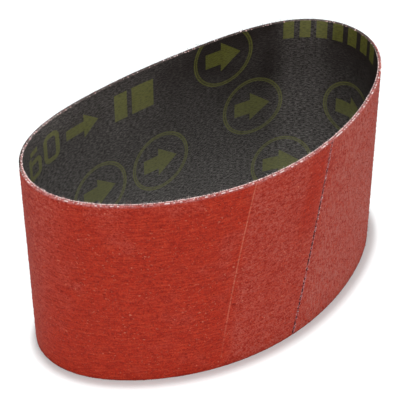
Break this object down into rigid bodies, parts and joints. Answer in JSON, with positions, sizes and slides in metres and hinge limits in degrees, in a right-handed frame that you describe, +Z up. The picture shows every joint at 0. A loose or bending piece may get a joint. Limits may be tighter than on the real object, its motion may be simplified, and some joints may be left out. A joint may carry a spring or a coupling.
{
  "type": "sanding belt",
  "caption": "Endless coated-abrasive belt for a sander's drum: red grain on dark cloth, standing on edge as a lopsided oval, with a slanted butt joint taped on the inside.",
  "frame": {"origin": "on the surface that the belt's lower edge stands on, under the middle of the oval's bounding box", "axes": "+X along the oval's long way; +Z up, across the belt's width; the splice is on the -Y side, which is bowed more than the other"},
  "size_m": [0.162, 0.0852, 0.0889],
  "materials": {
    "backing_cloth": "resin-filled woven cloth, dark charcoal brown, matt",
    "abrasive_grain": "orange-red grain bonded in resin, rough and matt",
    "splice_film": "smoky amber film, satin"
  },
  "bodies": {
    "root": {"cloth_backing": "backing_cloth", "abrasive_coat": "abrasive_grain", "splice_tape": "splice_film"}
  },
  "joints": []
}
